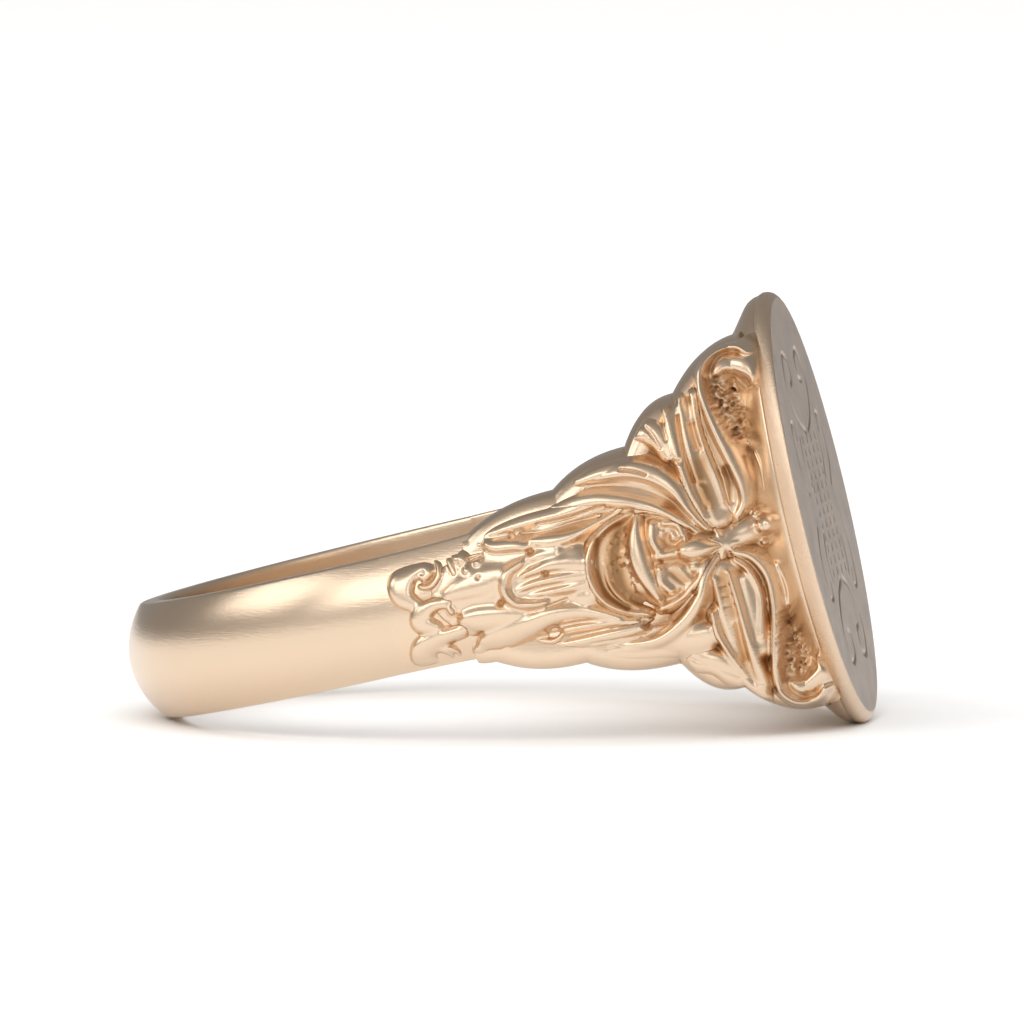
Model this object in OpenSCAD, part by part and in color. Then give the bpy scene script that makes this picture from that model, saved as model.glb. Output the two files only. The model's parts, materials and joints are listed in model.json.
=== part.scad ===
// Signet ring with scroll-carved shoulders, lying on its side on a table.
// The ring is drawn with the finger hole along Z and the head towards +X,
// and lie() then tips it so that it rests on the plate's rim and the band's edge.

/* [Finger] */
// Inside diameter of the band
finger_d = 19; // [17:0.25:21]

/* [Shank] */
// Width of the band at its back
shank_w = 4; // [3:0.1:4.4]
// Thickness of the band at its back
shank_t = 1.5; // [1.3:0.05:1.8]
// Height of the band's straight edges, below the rounded crown
shank_edge = 0.7; // [0.5:0.05:1]

/* [Signet] */
// Length of the oval plate, along the finger
plate_l = 15.1; // [14:0.1:17]
// Width of the oval plate, across the finger
plate_w = 12.4; // [11:0.1:14]
// Thickness of the plate
plate_t = 0.4; // [0.3:0.05:0.8]
// Height of the plate's face above the finger hole
head_rise = 4.1; // [3.8:0.1:5]
// Height of the waisted neck below the plate
neck_h = 0.9; // [0.5:0.05:1]
// How far the plate overhangs its neck
overhang = 1.15; // [0.8:0.05:1.4]

/* [Shoulders] */
// Length of the shoulders' outline along X, as the half axis of an oval
shoulder_a = 13.7; // [13.4:0.1:14.4]
// How far the ornament stands proud at the end of the shoulders
relief_end = 0.4; // [0.3:0.05:0.6]
// How far the ornament stands proud at the head
relief_head = 0.75; // [0.6:0.05:1]
// Depth of the leaves along the shoulders' edges
edge_depth = 2.2; // [1.6:0.1:2.6]
// Width of the strip that joins the lobes of an edge leaf
edge_strip = 0.25; // [0.2:0.05:0.4]
// Radius of the pearl between the scrolls
pearl_r = 0.42; // [0.3:0.02:0.45]

/* [Hidden] */
finger_r = finger_d / 2;
fit = finger_d / 19;              // the carving grows with the finger size
face_x = finger_r + head_rise;
plate_x = face_x - plate_t;
neck_x = plate_x - neck_h;        // top of the head block
head_x = 9 * fit;                 // joint between shoulders and head
shoulder_b = finger_r + shank_t;
crown = shank_t - shank_edge;
crown_r = (pow(shank_w / 2, 2) + pow(crown, 2)) / (2 * crown);
tall = 2 * plate_l;               // longer than the ring in every direction
// Tip that brings the plate's rim and the band's lower edge to one level
tilt = atan((plate_l - shank_w) / 2 / (plate_x + finger_r + shank_edge));

$fn = 96;
gold = [0.86, 0.68, 0.48];
deep_gold = [0.72, 0.47, 0.28];

// Half the height of the shoulders: [x, height]
edge_line = [[0, shank_w / 2], [3, 2.1], [6, 2.5], [8.5, 3.3], [10.3, 4.6], [12.3, 6]];

// Middle lines of the ornament on a shoulder: [x, z, width]
stalk_line = [[2.5, -0.1, 1.4], [3.4, 0, 2.4], [4.6, 0, 3], [5.6, -0.1, 2.5], [6.5, -0.2, 1.5]];
shell_line = [[8.5, 1.5, 0.4], [7.75, 0.95, 1.3], [7.6, -0.2, 1.8], [7.75, -1.2, 1.3], [8.4, -1.7, 0.4]];
bud_line = [[9.25, 1, 0.5], [9.25, 0.4, 1], [9.3, -0.2, 1.2], [9.25, -0.8, 1], [9.25, -1.4, 0.5]];
drop_line = [[9.5, -0.2, 1], [10.2, -0.2, 0.5], [10.7, -0.2, 0.1]];
leaf_lines = [
    [[10.35, 0.5, 0.4], [10, 1.5, 0.8], [9.4, 2.35, 1.2], [8.3, 2.9, 1.3], [7.3, 2.95, 0.9], [6.6, 2.9, 0.5]],
    [[10.5, -0.9, 0.4], [10.15, -1.75, 0.7], [9.4, -2.45, 1.1], [8.3, -2.75, 1], [7, -2.5, 0.8],
        [5, -2.2, 0.3]]];
husk_lines = [
    [[10.8, 0.7, 0.4], [10.85, 1.8, 0.7], [10.65, 3.2, 0.7], [10.4, 4.4, 0.3]],
    [[10.95, -1.2, 0.4], [11.1, -2.2, 0.8], [10.95, -3.6, 0.8], [10.7, -4.8, 0.3]]];
scroll_lines = [
    [[11.05, 0.3, 0.3], [11.7, 0.7, 0.45], [11.85, 1.7, 0.5], [11.5, 2.9, 0.5], [11.25, 4.1, 0.45],
        [11.35, 5.3, 0.45], [11.95, 6, 0.45], [12.7, 5.9, 0.4], [13.1, 5.3, 0.35]],
    [[11.05, -0.6, 0.3], [11.7, -0.85, 0.45], [12.05, -1.7, 0.5], [12, -2.9, 0.5], [11.75, -4.1, 0.45],
        [11.6, -5.2, 0.45], [12, -6, 0.45], [12.7, -6.1, 0.4], [13.15, -5.5, 0.35]]];
// Lobes of an edge leaf: [from x, to x, height]
lobes = [[3.2, 6.1, 0.35], [6.1, 8.6, 0.7], [8.6, 10.5, 0.8], [10.5, 12.3, 0.75]];
// The volutes and the round lobe at the tip of the carving: [x, z, radius]
tip_rounds = [[1.35, 1, 1], [1.6, -0.35, 0.75], [1.35, -1.2, 0.85]];
pearl_at = [12.05, -0.1];

// A smooth curve through points of any dimension
function curve_at(a, b, c, d, t) = 0.5 * (2 * b + (c - a) * t
    + (2 * a - 5 * b + 4 * c - d) * t * t + (3 * b - a - 3 * c + d) * t * t * t);
function smooth(p, steps = 5) = let(last = len(p) - 1) concat(
    [for (i = [0 : last - 1], s = [0 : steps - 1])
        curve_at(p[max(i - 1, 0)], p[i], p[i + 1], p[min(i + 2, last)], s / steps)],
    [p[last]]);
// The outline of a band that follows a middle line of [x, z, width]
function across(q, i, side) = let(
    ahead = q[min(i + 1, len(q) - 1)],
    back = q[max(i - 1, 0)],
    run = [ahead.x - back.x, ahead.y - back.y])
    [q[i].x, q[i].y] + side * q[i].z / 2 / norm(run) * [-run.y, run.x];
function band(p) = let(q = smooth(p * fit)) concat(
    [for (i = [0 : len(q) - 1]) across(q, i, 1)],
    reversed([for (i = [0 : len(q) - 1]) across(q, i, -1)]));
function oval(a, b) = [for (i = [0 : 95]) [a * cos(i * 3.75), b * sin(i * 3.75)]];
function reversed(p) = [for (i = [len(p) - 1 : -1 : 0]) p[i]];
// The shoulders' and head's outline, seen from the side
function outline() = let(q = smooth(edge_line * fit)) concat(q, reversed([for (p = q) [p.x, -p.y]]));

// The scalloped edge of a leaf, above the shoulder's own edge
function scallops() = let(q = smooth(edge_line * fit)) [
    for (l = lobes * fit, i = [0 : 10]) let(x = l[0] + (l[1] - l[0]) * i / 10)
        [x, lookup(x, q) + edge_strip + l[2] * pow(sin(18 * i), 0.7)]];
function leaf_foot() = let(q = smooth(edge_line * fit), x = lobes[0][0] * fit) concat(
    [[x, lookup(x, q)]], [for (p = q) if (p.x > x) p]);

// Tips the finished ring over onto the table
module lie() rotate([0, -tilt, 0]) children();

// Puts a piece of the left side, which is towards -Y, on the side named
module on_side(side) {
    if (side == "left") children();
    else mirror([0, 1, 0]) children();
}

module finger_hole() cylinder(r = finger_r, h = tall, center = true);

// A solid that stands on a flat outline of x and z and reaches out along -Y
module seen_from_side() rotate([90, 0, 0]) linear_extrude(tall) children();

// A solid that stands on an outline of x and y and runs along Z
module seen_from_above() linear_extrude(tall, center = true) children();

module core_plan() polygon(oval(shoulder_a * fit, shoulder_b));

// The layer on a shoulder's outside that holds the ornament
module relief_layer() seen_from_above() difference() {
    polygon(oval(shoulder_a * fit + relief_head, shoulder_b + relief_end));
    core_plan();
}

// One ornament: a flat outline of x and z, given the depth of the layer
module ornament(side, tint) color(tint) lie() on_side(side) intersection() {
    seen_from_side() children();
    relief_layer();
}

// Plain half hoop with flat edges and a rounded crown
module shank() color(gold) lie() rotate(90) rotate_extrude(angle = 180) intersection() {
    translate([finger_r, -shank_w / 2]) square([shank_t, shank_w]);
    translate([shoulder_b - crown_r, 0]) circle(crown_r);
}

// Flared arm between the hoop and the head
module shoulder(side) color(gold) lie() on_side(side) difference() {
    intersection() {
        seen_from_side() intersection() {
            polygon(outline());
            translate([0, -tall / 2]) square([head_x, tall]);
        }
        seen_from_above() core_plan();
    }
    finger_hole();
}

// Block that joins the two shoulders and carries the plate
module head() color(gold) lie() difference() {
    intersection() {
        translate([0, tall / 2, 0]) seen_from_side() intersection() {
            polygon(outline());
            translate([head_x, -tall / 2]) square([neck_x - head_x, tall]);
        }
        seen_from_above() core_plan();
    }
    finger_hole();
}

// An oval disc across the X axis
module oval_disc(x, thick, wide, long) translate([x, 0, 0]) rotate([0, 90, 0])
    linear_extrude(thick) polygon(oval(long / 2, wide / 2));

module neck() color(deep_gold) lie()
    oval_disc(neck_x, neck_h, plate_w - 2 * overhang, plate_l - 2 * overhang);

module signet_plate() color(gold) lie() oval_disc(plate_x, plate_t, plate_w, plate_l);

// Two small volutes and a round lobe where the carving ends on the hoop
module tip_scrolls(side) ornament(side, gold) for (r = tip_rounds)
    translate([r.x, r.y] * fit) circle(r.z * fit);

module stalk(side) ornament(side, gold) polygon(band(stalk_line));

module shell(side) ornament(side, deep_gold) polygon(band(shell_line));

// Round bud with a pointed drop on it
module bud(side) ornament(side, deep_gold) {
    polygon(band(bud_line));
    polygon(band(drop_line));
}

module pearl(side) color(gold) lie() on_side(side) difference() {
    x = pearl_at.x * fit;
    y = shoulder_b * sqrt(1 - pow(x / (shoulder_a * fit), 2));
    translate([x, -y - 0.7 * pearl_r, pearl_at.y * fit]) sphere(pearl_r);
    seen_from_above() core_plan();
}

module leaf(side, end) ornament(side, gold) polygon(band(leaf_lines[end]));

module husk(side, end) ornament(side, deep_gold) polygon(band(husk_lines[end]));

module scroll(side, end) ornament(side, gold) polygon(band(scroll_lines[end]));

// Lobed leaf that lies along a shoulder's edge and rounds it off
module edge_leaf(side, end) color(gold) lie() on_side(side) mirror([0, 0, end]) difference() {
    intersection() {
        seen_from_side() polygon(concat(scallops(), reversed(leaf_foot())));
        seen_from_above() difference() {
            core_plan();
            polygon(oval(shoulder_a * fit - edge_depth, shoulder_b - edge_depth));
        }
    }
    finger_hole();
}

shank();
head();
neck();
signet_plate();
for (side = ["left", "right"]) {
    shoulder(side);
    tip_scrolls(side);
    stalk(side);
    shell(side);
    bud(side);
    pearl(side);
    edge_leaf(side, 0);
    edge_leaf(side, 1);
    leaf(side, 0);
    leaf(side, 1);
    husk(side, 0);
    husk(side, 1);
    scroll(side, 0);
    scroll(side, 1);
}
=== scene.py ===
import json
import math

import bmesh
import bpy
import numpy as np
from mathutils import Matrix, Vector


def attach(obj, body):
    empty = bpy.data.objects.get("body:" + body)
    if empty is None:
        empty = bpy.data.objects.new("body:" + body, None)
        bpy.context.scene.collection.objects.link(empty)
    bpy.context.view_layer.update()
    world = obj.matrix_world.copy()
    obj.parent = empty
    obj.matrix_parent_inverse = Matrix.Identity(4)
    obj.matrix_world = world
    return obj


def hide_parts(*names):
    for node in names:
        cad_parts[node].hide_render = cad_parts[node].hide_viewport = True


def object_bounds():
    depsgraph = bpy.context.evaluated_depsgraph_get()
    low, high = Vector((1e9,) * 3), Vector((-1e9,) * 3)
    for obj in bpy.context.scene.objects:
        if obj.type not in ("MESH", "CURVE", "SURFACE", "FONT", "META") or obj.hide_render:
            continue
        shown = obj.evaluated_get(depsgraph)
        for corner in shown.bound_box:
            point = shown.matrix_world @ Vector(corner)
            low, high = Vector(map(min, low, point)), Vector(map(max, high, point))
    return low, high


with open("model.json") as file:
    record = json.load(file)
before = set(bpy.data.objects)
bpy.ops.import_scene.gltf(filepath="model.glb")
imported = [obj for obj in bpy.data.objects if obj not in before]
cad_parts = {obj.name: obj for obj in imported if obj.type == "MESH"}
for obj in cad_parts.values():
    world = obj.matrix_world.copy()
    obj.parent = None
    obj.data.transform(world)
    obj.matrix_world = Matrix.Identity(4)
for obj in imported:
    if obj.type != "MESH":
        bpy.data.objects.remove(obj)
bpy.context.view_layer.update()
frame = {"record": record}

# --- Shank -----------------------------------------------------------------------------------
# The plain half hoop behind the finger: drawn D-section gold wire, flat inside and crowned
# outside, bent to size, soldered to the shoulders and polished.
MM = 0.001
mounts = {m["name"]: m for m in frame["record"]["mounts"]}
lean = mounts["finger_bore"]["axis"]
lie = Matrix.Rotation(math.atan2(lean[0], lean[2]), 4, "Y") @ Matrix.Scale(MM, 4)
hole_r = mounts["finger_bore"]["dims"]["r_mm"]
face_x = Vector(mounts["signet_face"]["pos_m"]).length / MM
band_t = 1.5
crown = 0.8
# Metal lost from the outside in the last polish
polish_off = 0.006
outer_r = hole_r + band_t - polish_off
shoulder_a = 13.7
neck_x = face_x - 1.3
# Half the height of the shoulders: x, height
edge_line = np.array([[0, 2], [3, 2.1], [6, 2.5], [8.5, 3.3], [10.3, 4.6], [12.3, 6]])


def smooth_line(points, count):
    """A smooth curve through points of any dimension, cut into even steps between them."""
    p = np.asarray(points, float)
    t = np.linspace(0, len(p) - 1, count)
    i = np.minimum(t.astype(int), len(p) - 2)
    f = (t - i)[:, None]
    a, b, c, d = p[np.maximum(i - 1, 0)], p[i], p[i + 1], p[np.minimum(i + 2, len(p) - 1)]
    return 0.5 * (2 * b + (c - a) * f + (2 * a - 5 * b + 4 * c - d) * f**2
                  + (3 * b - a - 3 * c + d) * f**3)


edge_curve = smooth_line(edge_line, 80)


def half_height(x):
    """Half the height of the hoop or shoulder at x, measured along the finger."""
    return np.interp(x, edge_curve[:, 0], edge_curve[:, 1])


def crown_drop(t):
    """How far the crowned outside falls away at t, from 0 in the middle to 1 at the edge."""
    bend, steepest = 0.55, 0.85
    fall = 1 - np.sqrt(1 - np.minimum(bend * np.abs(t), steepest) ** 2)
    return crown * fall / (1 - math.sqrt(1 - bend**2))


def wall_y(x):
    """The outside of the hoop and shoulders, seen from above."""
    a = np.where(x < 0, outer_r, shoulder_a)
    least = 0.003
    return outer_r * np.sqrt(np.maximum(1 - (x / a) ** 2, least))


def shaped_grid(along, around, place):
    """A grid whose points are moved to place(u, v), with u and v from 0 to 1."""
    bm = bmesh.new()
    bmesh.ops.create_grid(bm, x_segments=along, y_segments=around, size=1)
    uv = np.array([v.co for v in bm.verts])
    spots = place((uv[:, 0] + 1) / 2, (uv[:, 1] + 1) / 2)
    for v, spot in zip(bm.verts, spots):
        v.co = spot
    return bm


def closed(bm, weld=0.002):
    """Welds the seam, fills the open ends and turns every face outwards."""
    bmesh.ops.remove_doubles(bm, verts=bm.verts[:], dist=weld)
    bmesh.ops.holes_fill(bm, edges=[e for e in bm.edges if e.is_boundary], sides=0)
    bmesh.ops.recalc_face_normals(bm, faces=bm.faces[:])
    return bm


def softened(bm, verts, times):
    """Draws each point towards its neighbours, as polishing does."""
    for _ in range(times):
        bmesh.ops.smooth_vert(bm, verts=verts, factor=0.5, use_axis_x=True, use_axis_y=True,
                              use_axis_z=True)
    return bm


def hollows(mesh, steps, depth):
    """For each point, how far it lies in a hollow: 0 on open metal to 1 in a deep one."""
    count = len(mesh.vertices)
    co = np.zeros(count * 3)
    mesh.vertices.foreach_get("co", co)
    co = co.reshape(-1, 3)
    ends = np.zeros(len(mesh.edges) * 2, int)
    mesh.edges.foreach_get("vertices", ends)
    a, b = ends.reshape(-1, 2).T
    normals = np.zeros(count * 3)
    mesh.vertex_normals.foreach_get("vector", normals)
    share = np.maximum(np.bincount(a, minlength=count) + np.bincount(b, minlength=count), 1)
    even = co.copy()
    for _ in range(steps):
        for k in range(3):
            total = np.bincount(a, even[b, k], count) + np.bincount(b, even[a, k], count)
            even[:, k] = 0.5 * even[:, k] + 0.5 * total / share
    lift = np.einsum("ij,ij->i", even - co, normals.reshape(-1, 3))
    return np.clip(lift / depth, 0, 1)


def finished(name, bm, material, slot, tone=None, steps=12, depth=0.03):
    """Makes the piece, keeps its tone, lays it on the table and fixes it to the ring."""
    mesh = bpy.data.meshes.new(name)
    bm.to_mesh(mesh)
    bm.free()
    shade = hollows(mesh, steps, depth)
    if tone is not None:
        co = np.zeros(len(mesh.vertices) * 3)
        mesh.vertices.foreach_get("co", co)
        shade = np.maximum(shade, tone(*co.reshape(-1, 3).T))
    mesh.attributes.new("tone", "FLOAT", "POINT").data.foreach_set("value", shade.astype(np.float32))
    mesh.transform(lie)
    mesh.shade_smooth()
    mesh.materials.append(material)
    piece = bpy.data.objects.new("ring_" + name, mesh)
    bpy.context.scene.collection.objects.link(piece)
    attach(piece, "root")
    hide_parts(name)
    return piece


def gold(name, bright, tarnish_and_painted_reflection, dull, shine, rough_by, scratch, scratch_size):
    """Polished gold: a tarnished colour in the hollows, a painted reflection where a piece sets a fixed
    tone, a wandering polish and fine wear.
    """
    material = bpy.data.materials.new(name)
    material.use_nodes = True
    nodes, links = material.node_tree.nodes, material.node_tree.links
    shader = nodes["Principled BSDF"]
    shader.inputs["Metallic"].default_value = 1
    where = nodes.new("ShaderNodeTexCoord")
    tone = nodes.new("ShaderNodeAttribute")
    tone.attribute_name = "tone"
    cloud = nodes.new("ShaderNodeTexNoise")
    cloud.inputs["Scale"].default_value = 900
    cloud.inputs["Detail"].default_value = 4
    links.new(where.outputs["Object"], cloud.inputs["Vector"])
    uneven = nodes.new("ShaderNodeMath")
    uneven.operation = "MULTIPLY_ADD"
    uneven.inputs[1].default_value = 0.5
    links.new(cloud.outputs["Fac"], uneven.inputs[0])
    links.new(tone.outputs["Fac"], uneven.inputs[2])
    depth = nodes.new("ShaderNodeValToRGB")
    depth.color_ramp.elements[0].position = 0.35
    depth.color_ramp.elements[0].color = (*bright, 1)
    depth.color_ramp.elements[1].position = 0.75
    depth.color_ramp.elements[1].color = (*tarnish_and_painted_reflection, 1)
    last = depth.color_ramp.elements.new(1)
    last.color = (*dull, 1)
    links.new(uneven.outputs[0], depth.inputs["Fac"])
    links.new(depth.outputs["Color"], shader.inputs["Base Color"])
    polish = nodes.new("ShaderNodeTexNoise")
    polish.inputs["Scale"].default_value = 350
    polish.inputs["Detail"].default_value = 6
    links.new(where.outputs["Object"], polish.inputs["Vector"])
    rough = nodes.new("ShaderNodeMath")
    rough.operation = "MULTIPLY_ADD"
    rough.inputs[1].default_value = rough_by
    rough.inputs[2].default_value = shine
    links.new(polish.outputs["Fac"], rough.inputs[0])
    rougher = nodes.new("ShaderNodeMath")
    rougher.operation = "MULTIPLY_ADD"
    rougher.inputs[1].default_value = 0.25
    links.new(tone.outputs["Fac"], rougher.inputs[0])
    links.new(rough.outputs[0], rougher.inputs[2])
    links.new(rougher.outputs[0], shader.inputs["Roughness"])
    stretch = nodes.new("ShaderNodeMapping")
    stretch.inputs["Scale"].default_value = (1, 1, 6)
    links.new(where.outputs["Object"], stretch.inputs["Vector"])
    marks = nodes.new("ShaderNodeTexNoise")
    marks.inputs["Scale"].default_value = scratch_size
    marks.inputs["Detail"].default_value = 8
    marks.inputs["Roughness"].default_value = 0.7
    links.new(stretch.outputs["Vector"], marks.inputs["Vector"])
    bump = nodes.new("ShaderNodeBump")
    bump.inputs["Strength"].default_value = scratch
    bump.inputs["Distance"].default_value = 0.00002
    links.new(marks.outputs["Fac"], bump.inputs["Height"])
    links.new(bump.outputs["Normal"], shader.inputs["Normal"])
    return material


polished_gold = gold("polished_gold", (0.73, 0.57, 0.42), (0.68, 0.49, 0.33), (0.38, 0.26, 0.17),
                     0.16, 0.12, 0.35, 2500)
lap = math.radians(0.3)
shank_ends = math.radians(90) - lap, math.radians(270) + lap


def hoop_spots(turn, v):
    """A closed section of the hoop, shoulders or head at each turn, v running round the section."""
    c, s = np.cos(turn), np.sin(turn)
    radius = np.where(c < 0, outer_r, 1 / np.sqrt((c / shoulder_a) ** 2 + (s / outer_r) ** 2))
    radius = np.minimum(radius, np.where(c > 0.1, neck_x / np.maximum(c, 0.1), radius))
    face, top, bore = 0.5, 0.64, 0.86
    t = np.interp(v, [0, face, top, bore, 1], [-1, 1, 1, -1, -1])
    inward = np.interp(v, [0, face, top, bore, 1], [0, 0, 1, 1, 0])
    drop = crown_drop(np.where(v < face, t, 1)) * (1 - inward)
    r_out = radius * c, radius * s
    reach = radius - hole_r
    r = radius - inward * reach
    x, y = r * c, r * s
    z = t * half_height(x)
    back = np.where(c < 0, 1, 0)
    x = x - drop * c * back
    y = y - drop * np.where(back == 1, s, np.sign(s) * np.clip(np.abs(r_out[1]) / 5, 0, 1))
    return np.stack([x, y, z], 1)


def hoop_part(start, end, along, around):
    """A length of the hoop between two turns, polished all but its sawn ends."""
    bm = closed(shaped_grid(along, around, lambda u, v: hoop_spots(start + (end - start) * u, v)))
    margin = 0.012
    inner = [v for v in bm.verts
             if margin < (math.atan2(v.co.y, v.co.x) - start) % (2 * math.pi) < end - start - margin]
    softened(bm, inner, 3)
    for end_face in [f for f in bm.faces if len(f.verts) > 4]:
        for edge in end_face.edges:
            edge.smooth = False
    return bm


shank = hoop_part(*shank_ends, 260, 110)
finished("shank", shank, polished_gold, "polished_gold")

# --- Shoulders -------------------------------------------------------------------------------
# The two arms that flare from the hoop to the head. They are cast in the same gold, and their
# outsides are the ground of the carving.
carved_gold = gold("carved_gold", (0.75, 0.58, 0.425), (0.62, 0.42, 0.26), (0.34, 0.21, 0.12),
                   0.16, 0.12, 0.35, 2500)
head_turn = math.radians(42)
sides = {"left": 1, "right": -1}


def for_side(bm, side):
    """The same piece on the other shoulder is a mirror image."""
    twin = bm.copy()
    if side == "right":
        bmesh.ops.transform(twin, matrix=Matrix.Scale(-1, 4, (0, 1, 0)), verts=twin.verts[:])
        bmesh.ops.recalc_face_normals(twin, faces=twin.faces[:])
    return twin


shoulder = hoop_part(math.radians(-90) - lap, lap - head_turn, 220, 160)
for side in sides:
    finished(side + "_shoulder", for_side(shoulder, side), carved_gold, "carved_gold")

# --- Head ------------------------------------------------------------------------------------
# The solid block of gold above the finger that joins the two shoulders. It is cast with them,
# bored to the finger hole and filed flat in front, where the neck is soldered on.
head = hoop_part(-head_turn - lap, head_turn + lap, 240, 160)
finished("head", head, carved_gold, "polished_gold")

# --- Neck and plate --------------------------------------------------------------------------
# The plate is sawn from thick sheet, soldered to a waisted neck and filed with it into one smooth
# flare. Its face is finished satin, with a greyer colour painted on it as the reflection of the dark
# room, and engraved by hand with scrolls and rows of dots.
plate_long, plate_wide = 15.1 / 2, 12.4 / 2
plate_x = face_x - 0.4


def flare_spots(sections):
    """An oval skin through sections of x and distances in from the rim, across and along it."""
    line = smooth_line(sections, 600)
    at = np.linspace(0, 1, 600)

    def spots(u, v):
        turn = 2 * math.pi * v
        return np.stack([np.interp(u, at, line[:, 0]),
                         (plate_wide - np.interp(u, at, line[:, 1])) * np.cos(turn),
                         (plate_long - np.interp(u, at, line[:, 2])) * np.sin(turn)], 1)
    return spots


neck = closed(shaped_grid(50, 260, flare_spots(
    [[11.4, 1.5, 1.75], [11.75, 1.05, 1.3], [12.05, 0.75, 0.95], [12.35, 0.52, 0.56],
     [12.6, 0.36, 0.26],
     [12.8, 0.24, 0.13], [12.98, 0.17, 0.08], [13.08, 0.19, 0.1]])))
finished("neck", neck, polished_gold, "polished_gold")


def groove(points, width, depth):
    """A chased or engraved line: its points, width and depth."""
    return smooth_line(points, 12 * len(points)) if len(points) > 1 else np.array(points), width, depth


def pit(x, z, radius, depth):
    """A punched dot."""
    return groove([(x, z)], radius, depth)


def cut_depth(across, along, marks):
    """How deep the marks cut at each spot."""
    total = np.zeros(across.shape)
    for path, width, depth in marks:
        reach = 3 * width
        close = ((across > path[:, 0].min() - reach) & (across < path[:, 0].max() + reach)
                 & (along > path[:, 1].min() - reach) & (along < path[:, 1].max() + reach))
        a, b = across[close], along[close]
        near = np.full(a.shape, 9.0)
        for point in path:
            near = np.minimum(near, np.hypot(a - point[0], b - point[1]))
        total[close] += depth * np.exp(-(near / width) ** 2)
    return total


engraving = []
for up in (1, -1):
    for out in (1, -1):
        engraving += [
            groove([(0.3 * out, 2.6 * up), (1.6 * out, 3.1 * up), (2.5 * out, 4.2 * up),
                    (2.0 * out, 5.3 * up), (1.0 * out, 5.2 * up), (0.9 * out, 4.5 * up),
                    (1.4 * out, 4.3 * up)], 0.07, 0.07),
            groove([(3.0 * out, 0.6 * up), (3.8 * out, 1.6 * up), (3.6 * out, 2.9 * up),
                    (3.0 * out, 3.0 * up), (2.9 * out, 2.5 * up)], 0.06, 0.06),
            groove([(1.9 * out, 0.9 * up), (2.4 * out, 1.7 * up), (2.2 * out, 2.5 * up)],
                   0.06, 0.06)]
for row in (-1.6, -0.55, 0.55, 1.6):
    engraving += [groove([(row, z), (row, z + 0.14)],
                         0.06, 0.08) for z in np.arange(-2.3, 2.4, 0.42)]
face_side, face_end = 0.06, 0.3
# The rim, from the face back: x, distance in at the sides and at the ends
rim = [[face_x - 0.0015, 0.045, 0.28], [face_x - 0.014, 0.015, 0.24], [face_x - 0.06, 0, 0.16],
       [face_x - 0.14, 0.015, 0.07], [face_x - 0.26, 0.05, 0.015], [plate_x, 0.1, 0],
       [plate_x - 0.12, 0.145, 0.045], [plate_x - 0.22, 0.175, 0.1], [plate_x - 0.26, 0.4, 0.4]]


def face_spots(u, v):
    """A square grid drawn out into the oval face, with the engraving cut into it."""
    a, b = 2 * u - 1, 2 * v - 1
    y = (plate_wide - face_side) * a * np.sqrt(1 - b**2 / 2)
    z = (plate_long - face_end) * b * np.sqrt(1 - a**2 / 2)
    return np.stack([face_x - cut_depth(y, z, engraving), y, z], 1)


plate = shaped_grid(240, 290, face_spots)
for x, side_in, end_in in rim:
    edge = [e for e in plate.edges if e.is_boundary]
    grown = bmesh.ops.extrude_edge_only(plate, edges=edge)["geom"]
    for v in grown:
        if isinstance(v, bmesh.types.BMVert):
            turn = math.atan2(v.co.z / plate_long, v.co.y / plate_wide)
            v.co = x, (plate_wide - side_in) * math.cos(turn), (plate_long - end_in) * math.sin(turn)
# The face's greyer, darker colour (0.485, 0.41, 0.355) is painted reflection of the dark room; its
# satin roughness is real
satin_gold = gold("satin_gold", (0.74, 0.57, 0.42), (0.485, 0.41, 0.355), (0.27, 0.20, 0.15),
                  0.22, 0.10, 0.9, 5200)
finished("signet_plate", closed(plate, 0.0005), satin_gold, "satin_gold", steps=3, depth=0.05,
         # A fixed tone of 0.45 over the face paints that reflection into its colour and roughens it to
         # satin
         tone=lambda x, y, z: np.where(x > face_x - 0.12, 0.45, 0)
         * ((y / (plate_wide - face_side - 0.02))**2 + (z / (plate_long - face_end - 0.02))**2 < 1))

# --- Edge leaves -----------------------------------------------------------------------------
# Lobed leaves fold over both edges of each shoulder, one rising from behind the next. They are
# modelled in wax with the carving and cast, and run back over the edge to the finger hole.
# Each lobe: from x, half height, to x, half height
edge_lobes = {"upper": [[2.6, 1.95, 3.1, 2.15], [3.1, 2.15, 6.15, 2.98], [6.15, 3.0, 8.58, 3.8],
                        [8.58, 3.85, 10.36, 5.15], [10.36, 5.2, 12.5, 6.5],
                        [12.5, 6.5, 13.7, 6.65]],
              "lower": [[2.2, 2.0, 3.15, 2.3], [3.15, 2.3, 6.0, 3.05], [6.0, 3.1, 8.8, 3.86],
                        [8.8, 3.9, 10.5, 5.2], [10.5, 5.25, 12.6, 6.55], [12.6, 6.55, 13.7, 6.65]]}
edge_round, edge_boxy, edge_depth = 0.8, 3.0, 2.4
roof_drift = 0.4


def outline(x, end):
    """Half the height of the carving at x: each lobe climbs fast, then levels out."""
    rise = np.full(np.shape(x), edge_lobes[end][0][1])
    for x0, z0, x1, z1 in edge_lobes[end]:
        t = np.clip((x - x0) / (x1 - x0), 0, 1)
        rise = np.where(x >= x0, z0 + (z1 - z0) * (1 - (1 - t) ** 2.4), rise)
    return rise


def roof_rise(x, end):
    """How much the upper edge climbs from the front to the back of a leaf."""
    return np.interp(x, [10.5, 12.2], [0.3, 0.12]) if end == "upper" else 0.0 * x


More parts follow.
